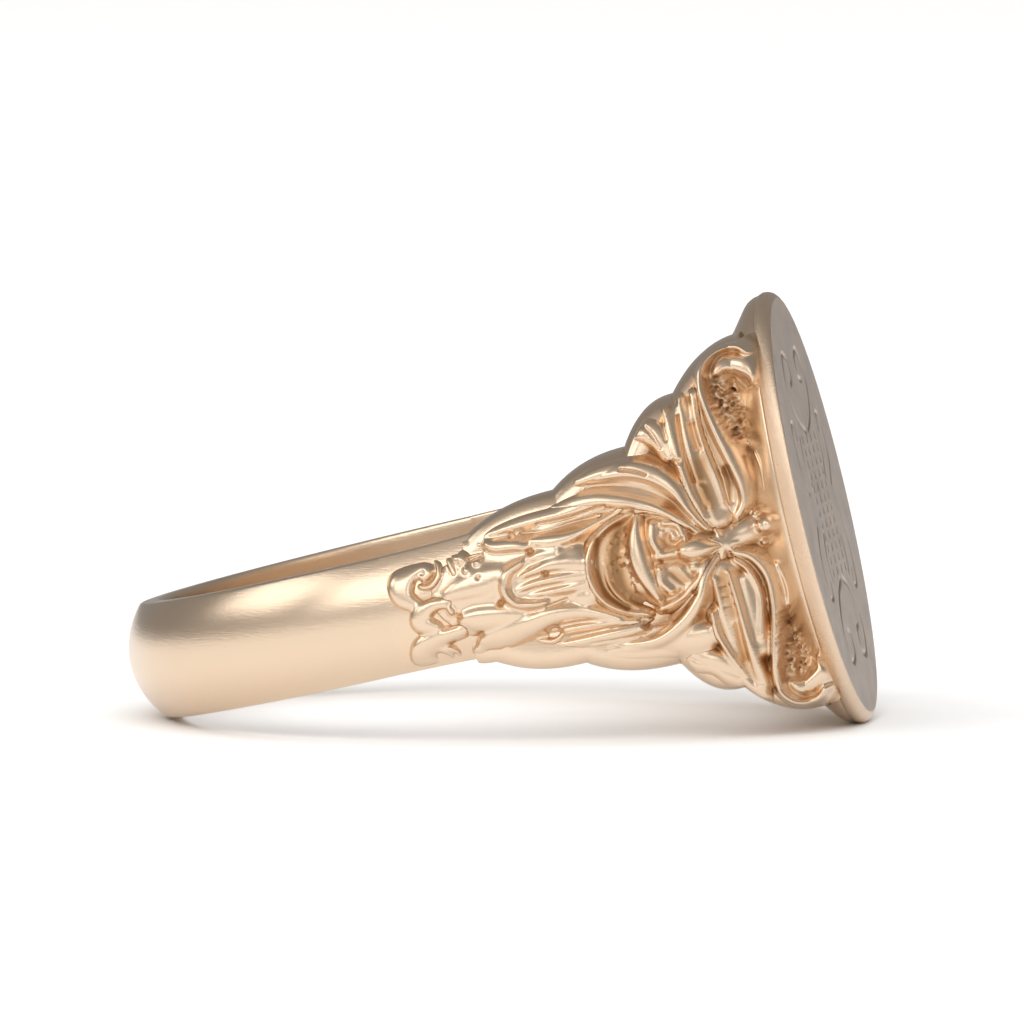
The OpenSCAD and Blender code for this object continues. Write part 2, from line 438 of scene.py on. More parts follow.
def edge_leaf(end):
    """One edge's run of lobes: a boxy section drawn along the outline, down to the finger hole."""
    lobes = edge_lobes[end]

    def spots(u, v):
        x = lobes[0][0] + 0.2 + (lobes[-1][0] - 0.2 - lobes[0][0]) * u
        proud, bore_gap = 0.25, 0.1
        front = wall_y(np.minimum(x, neck_x)) - crown * 0.75 + proud
        bore = np.sqrt(np.maximum(hole_r**2 - x**2, 0))
        deep = np.interp(x, [3, 10, 11.6], [edge_depth, 3.4, 6.5])
        deep = np.minimum(deep, front - bore - bore_gap)
        turn = 2 * math.pi * v
        across, up = np.cos(turn), np.sin(turn)
        power = 2 / edge_boxy
        top = outline(x + roof_drift * (1 - across) / 2, end) - roof_rise(x, end) * (1 + across) / 2
        y = -(front - deep / 2) - deep / 2 * np.sign(across) * np.abs(across) ** power
        z = top - edge_round + edge_round * np.sign(up) * np.abs(up) ** power
        return np.stack([x, y, z], 1)
    leaf = closed(shaped_grid(330, 80, spots))
    softened(leaf, leaf.verts[:], 2)
    if end == "lower":
        bmesh.ops.transform(leaf, matrix=Matrix.Scale(-1, 4, (0, 0, 1)), verts=leaf.verts[:])
        bmesh.ops.recalc_face_normals(leaf, faces=leaf.faces[:])
    return leaf


def on_both_sides(name, bm, material, slot, **shade):
    """Fixes the piece to the left shoulder and its mirror image to the right."""
    for side in sides:
        finished(f"{side}_{name}", for_side(bm, side), material, slot, **shade)
    bm.free()


for end in edge_lobes:
    on_both_sides(end + "_edge", edge_leaf(end), carved_gold, "carved_gold")

# --- The relief ------------------------------------------------------------------------------
# The carving on each shoulder is modelled as one soft relief and parted along its creases. It is
# held here as a field of heights over the shoulder, to which each piece adds its ridges and cuts.
block_end_y = float(wall_y(np.array(neck_x)))
grain = 0.035
field_x, field_z = np.meshgrid(np.arange(-0.3, 13.7, grain), np.arange(-6.9, 6.9, grain),
                               indexing="ij")
carved = {}
cuts = []
stains = []


def ground(x, z):
    """The y of the shoulder's outside, on the side towards -Y."""
    wall = np.where(x > neck_x, block_end_y - 0.3 * (x - neck_x), wall_y(x))
    return -wall + crown_drop(np.minimum(np.abs(z) / half_height(x), 1.0))


def ridge(*line):
    """A rounded ridge along a middle line of x, z, width and height, over the whole field."""
    path = smooth_line(line, 12 * len(line)) if len(line) > 1 else np.array(line, float)
    far_below, near = -3.0, 1.2
    roundness, fullness = 2.9, 0.56
    foot_roundness, foot_fullness, foot_share = 2.3, 0.62, 0.5
    widest_foot, low, rise_to_full, least = 0.22, 0.38, 0.15, 0.02
    rise = np.full(field_x.shape, far_below)
    rows = (field_x[:, 0] > path[:, 0].min() - near) & (field_x[:, 0] < path[:, 0].max() + near)
    cols = (field_z[0] > path[:, 1].min() - near) & (field_z[0] < path[:, 1].max() + near)
    window = np.ix_(rows, cols)
    x, z, best = field_x[window], field_z[window], rise[window]
    for px, pz, wide, high in path:
        off = np.hypot(x - px, z - pz) / (wide / 2)
        swell = high * np.maximum(1 - off**roundness, 0) ** fullness
        spread = min(widest_foot, wide * 0.6) * min(max((high - low) / rise_to_full, least), 1)
        skirt = off / (1 + spread * 2 / wide)
        foot = foot_share * high * np.maximum(1 - skirt**foot_roundness, 0) ** foot_fullness
        best = np.maximum(best, np.where(skirt < 1, np.maximum(swell, foot), (1 - skirt) * wide))
    rise[window] = best
    return rise


def joined(layers):
    """Layers run into each other with small fillets, as wax does."""
    tight = 20
    top = np.maximum.reduce(layers)
    return top + np.log(sum(np.exp(tight * (layer - top)) for layer in layers)) / tight


def carve(name, material, slot, ridges, marks=(), stain=0.5):
    """Adds a piece to the relief, with its cut marks. Stain is how much tone its hollows keep."""
    carved[name] = joined(ridges), material, slot, stain
    cuts.extend(marks)


# --- Ribbon scrolls --------------------------------------------------------------------------
# Two broad ribbons spring from the middle of the shoulder, run out beside the neck and roll over
# into a spoon-shaped curl. They are cast gold, polished, and the ground inside each curl is matted
# with a pointed punch.
punch = np.random.default_rng(11)


def matting(line, count, shallow=0.05, deep=0.14):
    """Pits pricked at random over the ground along a line of x, z and width."""
    path = smooth_line(line, 200)
    pricks = []
    for _ in range(count):
        x, z, wide = path[punch.integers(200)]
        pricks.append(pit(x + wide * punch.uniform(-0.5, 0.5), z + punch.uniform(-0.2, 0.2),
                          punch.uniform(0.035, 0.06), punch.uniform(shallow, deep)))
    return pricks


carve("upper_scroll", carved_gold, "carved_gold", [
    ridge([11.5, 0.5, 0.3, 0.7], [11.9, 0.95, 0.55, 0.98], [12.0, 1.6, 0.72, 1.1],
          [11.8, 2.5, 0.7, 1.14], [11.55, 3.4, 0.56, 1.14], [11.36, 4.3, 0.44, 1.14],
          [11.28, 5.1, 0.36, 1.14], [11.45, 5.75, 0.32, 1.18], [11.95, 6.1, 0.3, 1.2],
          [12.5, 6.1, 0.3, 1.2], [12.88, 5.8, 0.26, 1.16]),
    ridge([11.72, 5.3, 0.3, 0.8], [12.1, 5.6, 0.7, 1.0], [12.6, 5.45, 0.9, 1.06],
          [12.86, 5.05, 0.5, 0.98], [12.84, 4.7, 0.2, 0.86]),
    ridge([12.0, 3.1, 0.6, 0.42], [11.95, 4.2, 1.1, 0.46], [11.9, 5.0, 0.9, 0.5]),
    ridge([11.6, 0.9, 0.8, 0.52], [11.6, 2.0, 0.8, 0.6], [11.35, 3.4, 0.6, 0.64],
          [11.15, 4.8, 0.5, 0.66]),
    ridge([12.35, 2.8, 0.2, 0.8], [12.55, 2.0, 0.3, 1.05], [12.5, 1.1, 0.25, 1.05])],
    matting([[12.05, 3.1, 0.4], [12.0, 4.0, 0.8], [11.8, 4.9, 0.7]], 260)
    + [pit(11.72, 5.2, 0.12, 0.2), pit(12.32, 2.65, 0.12, 0.3)], stain=0.8)
carve("lower_scroll", carved_gold, "carved_gold", [
    ridge([11.2, -0.6, 0.3, 0.7], [11.75, -0.92, 0.5, 0.98], [12.08, -1.6, 0.58, 1.1],
          [12.1, -2.4, 0.58, 1.14], [11.95, -3.3, 0.52, 1.14], [11.74, -4.1, 0.46, 1.14],
          [11.56, -4.9, 0.4, 1.14], [11.58, -5.6, 0.34, 1.18], [11.95, -6.08, 0.3, 1.2],
          [12.5, -6.14, 0.3, 1.2], [12.9, -5.85, 0.26, 1.16]),
    ridge([11.9, -5.4, 0.3, 0.8], [12.2, -5.65, 0.7, 1.0], [12.65, -5.5, 0.85, 1.06],
          [12.88, -5.15, 0.45, 0.98], [12.8, -4.85, 0.2, 0.86]),
    ridge([12.15, -3.2, 0.5, 0.42], [12.1, -4.2, 1.0, 0.46], [12.05, -5.0, 0.9, 0.5]),
    ridge([12.35, -1.3, 0.2, 1.0], [12.5, -2.1, 0.25, 1.05], [12.4, -2.8, 0.2, 0.9])],
    matting([[12.25, -3.1, 0.35], [12.2, -4.0, 0.7], [12.05, -5.0, 0.7]], 260), stain=0.8)

stains += [groove([(12.05, 3.2), (12.05, 4.1), (11.85, 4.9)], 0.34, 0.6),
           groove([(12.25, -3.2), (12.2, -4.1), (12.1, -5.0)], 0.34, 0.6),
           pit(11.72, 5.2, 0.14, 0.9)]

# --- Husks -----------------------------------------------------------------------------------
# A hollow husk with fine ribs lies against the inner side of each ribbon, and a smooth lobe fills
# the corner beside it. They are cast gold, chased, with brown tone left in the hollow.
antiqued_gold = gold("antiqued_gold", (0.75, 0.575, 0.415), (0.60, 0.36, 0.19), (0.31, 0.17, 0.08),
                     0.16, 0.12, 0.45, 2500)
carve("upper_husk", antiqued_gold, "antiqued_gold", [
    ridge([10.05, 4.85, 0.4, 0.7], [10.15, 3.6, 0.45, 0.82], [10.22, 2.6, 0.4, 0.82],
          [10.38, 1.6, 0.3, 0.72], [10.62, 0.7, 0.2, 0.6]),
    ridge([10.55, 4.9, 0.3, 0.74], [10.56, 3.4, 0.22, 0.74], [10.62, 2.3, 0.22, 0.7],
          [10.76, 1.4, 0.2, 0.64], [10.88, 0.5, 0.14, 0.5]),
    ridge([11.0, 4.9, 0.4, 0.86], [10.96, 3.8, 0.28, 0.84], [11.05, 2.8, 0.32, 0.82],
          [11.2, 1.9, 0.32, 0.76], [11.25, 1.0, 0.22, 0.6]),
    ridge([10.5, 4.3, 1.2, 0.62], [10.6, 3.0, 1.4, 0.62], [10.8, 1.8, 1.4, 0.56],
          [11.0, 0.8, 1.2, 0.46]),
    ridge([8.95, 4.1, 0.7, 0.6], [9.35, 4.05, 1.0, 0.74], [9.75, 3.7, 0.9, 0.76],
          [9.9, 3.1, 0.6, 0.7])],
    [groove([(10.76, 3.9), (10.78, 3.5), (10.84, 3.1)], 0.12, 0.1),
     groove([(10.4, 4.3), (10.38, 3.1), (10.5, 2.0)], 0.05, 0.16), pit(10.18, 2.8, 0.09, 0.2),
     groove([(11.52, 2.2), (11.5, 1.6), (11.4, 1.1)], 0.12, 0.14), pit(10.72, 1.9, 0.1, 0.08),
     pit(10.72, 1.15, 0.1, 0.08), groove([(9.15, 4.45), (9.5, 3.95), (9.7, 3.4)], 0.06, 0.12),
     groove([(9.55, 4.7), (9.85, 4.2), (9.95, 3.6)], 0.05, 0.1)], stain=1.0)
carve("lower_husk", antiqued_gold, "antiqued_gold", [
    ridge([10.15, -2.4, 0.3, 0.76], [10.16, -3.2, 0.3, 0.82], [10.36, -4.0, 0.28, 0.84],
          [10.7, -4.95, 0.22, 0.72]),
    ridge([10.45, -1.3, 0.2, 0.62], [10.42, -2.2, 0.18, 0.62], [10.44, -3.2, 0.16, 0.6],
          [10.54, -4.1, 0.14, 0.6]),
    ridge([10.92, -1.2, 0.28, 0.72], [10.98, -2.2, 0.3, 0.84], [11.0, -3.2, 0.36, 0.9],
          [11.05, -4.2, 0.5, 0.94], [11.1, -5.2, 0.6, 0.9]),
    ridge([11.15, -0.85, 0.2, 0.7], [11.52, -1.35, 0.24, 0.84], [11.68, -2.1, 0.24, 0.9],
          [11.58, -2.9, 0.26, 0.92], [11.4, -3.6, 0.3, 0.92]),
    ridge([10.8, -1.2, 1.0, 0.5], [10.8, -2.6, 1.2, 0.58], [10.8, -3.8, 1.2, 0.62],
          [11.0, -5.0, 1.3, 0.66]),
    ridge([11.4, -1.6, 0.7, 0.62], [11.4, -2.8, 0.8, 0.7], [11.4, -4.0, 0.9, 0.78]),
    ridge([9.3, -3.9, 1.0, 0.64], [9.9, -4.15, 1.0, 0.74], [10.4, -4.9, 0.9, 0.74],
          [10.9, -5.5, 0.8, 0.8])],
    [groove([(10.74, -3.0), (10.72, -3.6), (10.72, -4.2)], 0.12, 0.08)]
    + [groove([(10.58, z), (10.78, z)], 0.05, 0.06) for z in (-1.6, -1.95, -2.3)], stain=1.0)

stains += [groove([(10.8, 2.6), (10.75, 1.9), (10.78, 1.2)], 0.3, 0.55),
           groove([(10.7, -1.2), (10.7, -2.0), (10.74, -2.6)], 0.25, 0.5)]

# --- Drooping leaves -------------------------------------------------------------------------
# Two long leaves fall from the middle of the shoulder towards the hoop, each with a fold down its
# length and a curled tip. They are cast gold, chased along the fold and polished.
carve("upper_leaf", carved_gold, "carved_gold", [
    ridge([6.45, 3.05, 0.45, 0.55], [6.9, 3.1, 0.75, 0.72], [7.7, 3.12, 0.85, 0.84],
          [8.6, 2.98, 0.85, 0.9], [9.35, 2.6, 0.8, 0.92], [9.9, 1.95, 0.62, 0.9],
          [10.2, 1.1, 0.4, 0.8], [10.55, 0.4, 0.25, 0.65]),
    ridge([6.0, 2.35, 0.4, 0.42], [7.2, 2.3, 0.6, 0.62], [8.2, 2.0, 0.6, 0.7],
          [9.0, 1.62, 0.5, 0.74], [9.6, 1.15, 0.38, 0.72], [10.1, 0.6, 0.28, 0.66]),
    ridge([7.2, 2.75, 1.0, 0.42], [8.6, 2.6, 1.3, 0.5], [9.5, 2.0, 1.1, 0.5]),
    ridge([6.52, 3.22, 0.4, 0.66])],
    [pit(6.7, 2.98, 0.07, 0.25), groove([(8.35, 3.02), (8.75, 2.88), (9.12, 2.66)], 0.045, 0.2),
     groove([(7.2, 2.72), (8.2, 2.52), (9.1, 2.1), (9.8, 1.45), (10.15, 0.85)], 0.1, 0.1)])
carve("lower_leaf", carved_gold, "carved_gold", [
    ridge([4.95, -2.2, 0.2, 0.32], [5.8, -2.33, 0.5, 0.52], [7.0, -2.35, 0.6, 0.62],
          [7.9, -2.32, 0.4, 0.6]),
    ridge([6.8, -2.75, 0.4, 0.52], [8.2, -2.9, 0.55, 0.74], [9.2, -2.5, 0.6, 0.86],
          [9.85, -1.85, 0.48, 0.88], [10.22, -1.15, 0.34, 0.78], [10.65, -0.6, 0.22, 0.62]),
    ridge([6.0, -2.7, 0.7, 0.4], [7.2, -2.95, 0.95, 0.5], [8.3, -3.1, 1.1, 0.56],
          [9.3, -3.2, 1.3, 0.66], [9.8, -3.1, 1.0, 0.68])],
    [groove([(8.0, -2.28), (8.35, -2.24), (8.7, -2.26)], 0.08, 0.28),
     groove([(6.2, -2.42), (7.0, -2.48), (7.8, -2.52)], 0.04, 0.1)])

# --- Shell -----------------------------------------------------------------------------------
# A crescent shell with a thin double rim and a smooth lip, cast in gold and chased deep between the
# leaves, with brown tone in its bowl.
carve("shell", antiqued_gold, "antiqued_gold", [
    ridge([8.35, 1.52, 0.16, 0.55], [7.6, 1.3, 0.2, 0.6], [7.02, 0.85, 0.22, 0.66],
          [6.75, 0.2, 0.22, 0.68], [6.75, -0.55, 0.22, 0.68], [7.02, -1.2, 0.22, 0.64],
          [7.6, -1.68, 0.2, 0.58], [8.2, -1.92, 0.16, 0.5]),
    ridge([7.22, 0.1, 0.12, 0.22], [7.24, -0.6, 0.14, 0.3], [7.42, -1.1, 0.14, 0.34],
          [7.8, -1.5, 0.16, 0.38], [8.15, -1.78, 0.14, 0.36]),
    ridge([7.75, 0.9, 0.9, 0.12], [7.6, 0.0, 1.5, 0.14], [7.8, -1.0, 1.1, 0.12]),
    ridge([8.55, 1.35, 0.24, 0.52], [8.4, 0.8, 0.5, 0.6], [8.34, 0.2, 0.7, 0.64],
          [8.38, -0.4, 0.7, 0.64], [8.5, -1.0, 0.5, 0.6], [8.62, -1.5, 0.24, 0.52]),
    ridge([8.2, 0.9, 0.4, 0.3], [8.1, 0.0, 0.5, 0.34], [8.2, -1.0, 0.5, 0.32])],
    matting([[7.8, 0.9, 0.6], [7.65, 0.0, 0.8], [7.8, -1.1, 0.6]], 70, 0.02, 0.07), stain=1.0)

stains += [groove([(7.95, 1.1), (7.6, 0.4), (7.5, -0.3), (7.6, -0.9), (8.0, -1.4)], 0.34, 0.75),
           groove([(7.2, 0.95), (6.98, 0.1), (7.05, -0.9), (7.6, -1.55)], 0.12, 0.75)]

# --- Bud and drop ----------------------------------------------------------------------------
# A round bud with punched pits, and a smooth pointed drop that hangs from it towards the plate.
# Both are cast gold. The drop is polished bright and the pits are left brown.
carve("bud", antiqued_gold, "antiqued_gold", [
    ridge([8.98, 0.98, 0.4, 0.56], [8.88, 0.5, 0.42, 0.58], [8.98, 0.1, 0.4, 0.6]),
    ridge([9.3, 0.95, 0.26, 0.64], [9.72, 0.75, 0.24, 0.66], [9.85, 0.35, 0.26, 0.7]),
    ridge([9.3, 0.6, 0.5, 0.5], [9.55, 0.4, 0.4, 0.56]),
    ridge([8.86, -0.12, 0.26, 0.56], [9.4, -0.12, 0.4, 0.6]),
    ridge([9.86, -0.12, 0.72, 1.0], [10.12, -0.15, 0.92, 1.08], [10.45, -0.2, 0.62, 1.02],
          [10.85, -0.27, 0.16, 0.74]),
    ridge([8.9, -0.5, 0.34, 0.6], [8.86, -0.95, 0.36, 0.58], [9.08, -1.34, 0.34, 0.58]),
    ridge([9.35, -0.85, 0.9, 0.46], [9.55, -1.15, 0.7, 0.5]), ridge([9.95, -0.75, 0.5, 0.6]),
    ridge([8.55, 1.55, 0.2, 0.5], [9.2, 1.34, 0.26, 0.64], [9.82, 0.95, 0.26, 0.7],
          [10.25, 0.4, 0.22, 0.66]),
    ridge([8.6, -1.85, 0.2, 0.5], [9.3, -1.68, 0.26, 0.62], [9.9, -1.25, 0.26, 0.68],
          [10.3, -0.7, 0.22, 0.66])],
    [pit(9.34, 0.5, 0.15, 0.22), pit(9.3, 0.72, 0.07, 0.08), pit(8.97, -0.32, 0.07, 0.14),
     groove([(9.25, -0.75), (9.4, -1.0), (9.5, -1.15)], 0.14, 0.16), pit(9.78, -1.6, 0.06, 0.2)],
      stain=0.9)
stains += [pit(9.34, 0.5, 0.2, 0.5), groove([(9.25, -0.8), (9.5, -1.1)], 0.24, 0.45),
           groove([(8.1, -2.26), (8.6, -2.26)], 0.12, 0.4)]

# --- Pearl -----------------------------------------------------------------------------------
# A gold bead between the two ribbons, with a star of small ribs round their meeting point. It is
# cast with the shoulder, stands out furthest and is polished by wear.
star_x, star_z = 10.98, -0.2
ribs = []
for turn in np.radians([-150, -110, -60, -20, 20, 60, 110, 150]):
    reach = np.array([math.cos(turn), math.sin(turn)])
    ribs.append(ridge([star_x, star_z, 0.2, 0.6],
                      [star_x + 0.3 * reach[0], star_z + 0.3 * reach[1], 0.22, 0.68],
                      [star_x + 0.55 * reach[0], star_z + 0.55 * reach[1], 0.1, 0.62]))
carve("pearl", carved_gold, "carved_gold", [
    ridge([12.36, 0.05, 0.86, 1.5]), ridge([12.1, 0.5, 0.3, 1.0]), ridge([12.15, -0.55, 0.3, 1.0]),
    ridge([10.9, -0.2, 0.8, 0.5], [11.4, -0.1, 0.9, 0.6], [12.0, 0.0, 1.1, 0.85]), *ribs])

# --- Stalk -----------------------------------------------------------------------------------
# The tapered stalk is covered with overlapping tongues that point to the hoop. Small pits are
# punched between them, and long strands run back beside the shell. It is cast gold, polished, with
# a little tone in the pits.
carve("stalk", carved_gold, "carved_gold", [
    ridge([2.7, 0.2, 2.4, 0.16], [3.8, 0.0, 3.6, 0.26], [5.0, 0.0, 3.6, 0.3]),
    ridge([7.2, 2.1, 0.35, 0.5], [6.0, 2.12, 0.55, 0.5], [4.8, 2.15, 0.66, 0.52],
          [4.0, 2.1, 0.58, 0.52], [3.6, 2.0, 0.42, 0.44]),
    ridge([3.08, 2.1, 0.22, 0.4], [3.28, 2.25, 0.2, 0.36]),
    ridge([3.2, 2.15, 0.2, 0.34], [3.32, 1.7, 0.2, 0.34]),
    ridge([2.5, 1.75, 0.32, 0.3], [2.6, 1.55, 0.55, 0.44], [2.72, 1.35, 0.4, 0.38]),
    ridge([5.05, 1.2, 0.3, 0.42], [4.5, 1.42, 0.5, 0.52], [3.9, 1.52, 0.5, 0.5],
          [3.6, 1.68, 0.3, 0.42]),
    ridge([5.12, 1.42, 0.32, 0.46], [5.6, 1.3, 0.56, 0.54], [6.3, 1.25, 0.5, 0.54],
          [7.0, 1.4, 0.3, 0.5], [8.1, 1.72, 0.2, 0.45]),
    ridge([4.7, 0.8, 0.24, 0.5], [4.16, 0.55, 0.4, 0.64], [3.96, 0.0, 0.38, 0.64],
          [4.2, -0.5, 0.34, 0.62], [4.8, -0.68, 0.34, 0.64], [5.15, -0.68, 0.26, 0.6]),
    ridge([6.3, 0.55, 0.9, 0.44]), ridge([6.4, -0.85, 0.8, 0.44]),
    ridge([6.6, 0.3, 0.7, 0.52], [5.7, 0.5, 0.6, 0.54], [5.0, 0.42, 0.34, 0.54],
          [4.5, 0.3, 0.1, 0.46]),
    ridge([6.5, -0.1, 0.5, 0.5], [5.6, 0.0, 0.4, 0.52], [4.9, 0.0, 0.3, 0.5],
          [4.35, -0.1, 0.1, 0.42]),
    ridge([6.5, -0.4, 0.5, 0.5], [5.8, -0.4, 0.36, 0.52], [5.2, -0.38, 0.26, 0.5],
          [4.7, -0.36, 0.1, 0.42]),
    ridge([5.8, 0.9, 0.6, 0.48], [5.0, 0.9, 0.4, 0.46]),
    ridge([3.9, 0.6, 0.7, 0.42], [3.3, 0.5, 1.1, 0.46], [2.6, 0.4, 0.85, 0.42],
          [2.1, 0.3, 0.5, 0.3]),
    ridge([2.86, 0.95, 0.36, 0.44]), ridge([3.25, 1.12, 0.32, 0.44]),
    ridge([4.3, -0.95, 0.5, 0.42], [3.6, -0.85, 0.9, 0.48], [2.9, -0.75, 0.95, 0.48],
          [2.4, -0.62, 0.5, 0.4]),
    ridge([7.3, -1.85, 0.3, 0.48], [6.3, -1.35, 0.6, 0.52], [5.3, -1.2, 0.72, 0.54],
          [4.4, -1.35, 0.9, 0.56], [3.6, -1.5, 1.0, 0.54], [3.0, -1.55, 0.8, 0.42]),
    ridge([4.6, -1.95, 0.2, 0.42], [5.0, -2.05, 0.24, 0.48], [5.3, -1.92, 0.16, 0.44]),
    ridge([7.8, -2.05, 0.22, 0.5], [6.5, -1.85, 0.32, 0.52], [5.5, -1.78, 0.28, 0.48]),
    ridge([3.4, -2.15, 0.26, 0.36]), ridge([3.76, -2.2, 0.22, 0.38]),
                                            ridge([2.6, -1.85, 0.6, 0.36])],
    [pit(3.7, -0.38, 0.09, 0.28), pit(5.35, 0.24, 0.09, 0.2), pit(5.12, -1.75, 0.14, 0.45),
     pit(5.0, 1.06, 0.11, 0.3), pit(4.48, 1.7, 0.09, 0.25), pit(3.36, 1.48, 0.08, 0.22),
     pit(3.47, -1.96, 0.09, 0.3), pit(3.2, 0.64, 0.08, 0.12), pit(2.26, -0.5, 0.1, 0.25),
     groove([(5.15, -0.85), (5.8, -0.76)], 0.05, 0.1),
     groove([(5.4, 1.9), (6.4, 1.86), (7.6, 1.98)], 0.05, 0.12),
     groove([(4.8, 1.72), (5.6, 1.6), (6.4, 1.66), (7.4, 1.66)], 0.05, 0.12),
     groove([(3.0, 1.26), (3.4, 1.3)], 0.06, 0.18),
     groove([(2.45, -1.4), (2.85, -1.25)], 0.07, 0.18)],
    stain=0.3)

# --- Tip scrolls -----------------------------------------------------------------------------
# The carving ends on the hoop in two small volutes with a round lobe between them. They are low,
# cast in gold with the shoulder and cleaned up with a graver.
carve("tip_scrolls", carved_gold, "carved_gold", [
    ridge([0.95, 0.2, 0.45, 0.22], [0.58, 0.55, 0.75, 0.32], [0.6, 1.05, 0.95, 0.36],
          [0.95, 1.36, 0.75, 0.36], [1.34, 1.44, 0.5, 0.36], [1.6, 1.22, 0.34, 0.37],
          [1.42, 1.02, 0.26, 0.34], [1.28, 1.08, 0.2, 0.3]),
    ridge([1.0, 1.8, 0.14, 0.26], [1.55, 1.74, 0.17, 0.32], [1.9, 1.4, 0.2, 0.36],
          [1.88, 0.98, 0.2, 0.36], [1.55, 0.7, 0.2, 0.36], [1.2, 0.76, 0.16, 0.3]),
    ridge([1.2, 1.97, 0.14, 0.14], [1.9, 1.87, 0.2, 0.2], [2.28, 1.4, 0.24, 0.26],
          [2.4, 0.95, 0.2, 0.24]),
    ridge([2.0, 0.02, 0.35, 0.28], [1.55, 0.08, 0.5, 0.34], [1.1, -0.12, 0.7, 0.37],
          [1.0, -0.45, 0.75, 0.37], [1.4, -0.7, 0.5, 0.32]),
    ridge([2.0, -0.14, 0.2, 0.38], [2.08, -0.3, 0.22, 0.42]),
    ridge([2.2, -1.0, 0.5, 0.36], [1.5, -1.08, 0.62, 0.38], [0.85, -1.3, 0.85, 0.38],
          [0.7, -1.7, 0.8, 0.38], [1.1, -2.0, 0.5, 0.32]),
    ridge([1.3, -1.44, 0.14, 0.4], [1.58, -1.64, 0.15, 0.4], [1.66, -1.95, 0.14, 0.34]),
    ridge([1.55, -1.42, 0.14, 0.38], [1.86, -1.66, 0.15, 0.4], [1.86, -2.0, 0.14, 0.32])],
      stain=0.25)

# --- Casting the relief ----------------------------------------------------------------------
# The relief is parted into its pieces. Each keeps the surface where it stands highest and dips
# under its neighbours at the crease; its back is sunk into the shoulder.
floor_level = np.zeros(field_x.shape)
surface = joined([floor_level] + [c[0] for c in carved.values()])


def evened(field, steps):
    """The field with each spot drawn towards its neighbours."""
    for _ in range(steps):
        field = (field + np.roll(field, 1, 0) + np.roll(field, -1, 0)
                 + np.roll(field, 1, 1) + np.roll(field, -1, 1)) / 5
    return field


wax_steps, wide_steps = 7, 120
shallow, deep = 0.03, 0.22
surface = evened(surface, wax_steps) - cut_depth(field_x, field_z, cuts)
sunken = np.clip((evened(surface, wide_steps) - surface - shallow) / deep, 0, 1)
toned = cut_depth(field_x, field_z, stains)
tops = {end: outline(field_x, end) - roof_rise(field_x, end) for end in edge_lobes}
room = np.where(field_z > 0, tops["upper"], tops["lower"]) - np.abs(field_z)
corner = np.clip(1 - room / edge_round, 0, 1)
rolled = edge_depth / 2 * (1 - (1 - corner**edge_boxy) ** (1 / edge_boxy))


def largest_patch(keep):
    """The largest connected part of a mask."""
    label = np.where(keep, np.arange(keep.size).reshape(keep.shape) + 1, 0)
    while True:
        spread = label
        for axis in (0, 1):
            for way in (1, -1):
                spread = np.maximum(spread, np.roll(spread, way, axis))
        spread = np.where(keep, spread, 0)
        if (spread == label).all():
            break
        label = spread
    names, counts = np.unique(label[label > 0], return_counts=True)
    return label == names[counts.argmax()]


crease_dip, overlap, edge_room, face_room = 1.5, 0.22, 0.1, 0.08
root, head_root, least_wall = 0.45, 1.2, 0.2
for name, (own, material, slot, stain) in carved.items():
    other = joined([floor_level] + [c[0] for other_name, c in carved.items() if other_name != name])
    height = surface - crease_dip * np.maximum(other - own, 0)
    keep = largest_patch((own > other - overlap) & (room > edge_room) & (field_x < plate_x - face_room))
    rows, cols = np.nonzero(keep)
    low_r, low_c = rows.min(), cols.min()
    wide, tall = rows.max() - low_r, cols.max() - low_c
    face = ground(field_x, field_z) - height + rolled
    piece = bmesh.new()
    bmesh.ops.create_grid(piece, x_segments=int(wide), y_segments=int(tall), size=1)
    waste = []
    for v in piece.verts:
        r = low_r + round((v.co.x + 1) / 2 * wide)
        c = low_c + round((v.co.y + 1) / 2 * tall)
        if keep[r, c]:
            v.co = field_x[r, c], face[r, c], field_z[r, c]
        else:
            waste.append(v)
    bmesh.ops.delete(piece, geom=waste, context="VERTS")
    # Points where two parts of the patch only touch at a corner
    for _ in range(3):
        pinched = [v for v in piece.verts
                   if sum(e.is_boundary for e in v.link_edges) != 2 * v.is_boundary]
        bmesh.ops.delete(piece, geom=pinched, context="VERTS")
    bmesh.ops.delete(piece, geom=[v for v in piece.verts if not v.link_faces], context="VERTS")
    behind = bmesh.ops.extrude_face_region(piece, geom=piece.faces[:], use_keep_orig=True)["geom"]
    for v in behind:
        if isinstance(v, bmesh.types.BMVert):
            sunk = head_root if v.co.x > neck_x else root
            back = float(ground(np.array(v.co.x), np.array(v.co.z))) + sunk
            v.co.y = max(back, v.co.y + least_wall)
    bmesh.ops.recalc_face_normals(piece, faces=piece.faces[:])

    def tone(x, y, z):
        r = np.clip(np.rint((x - field_x[0, 0]) / grain).astype(int), 0, field_x.shape[0] - 1)
        c = np.clip(np.rint((z - field_z[0, 0]) / grain).astype(int), 0, field_x.shape[1] - 1)
        return np.maximum(sunken[r, c] * stain, toned[r, c])
    on_both_sides(name, piece, material, slot, tone=tone, steps=4, depth=0.2)

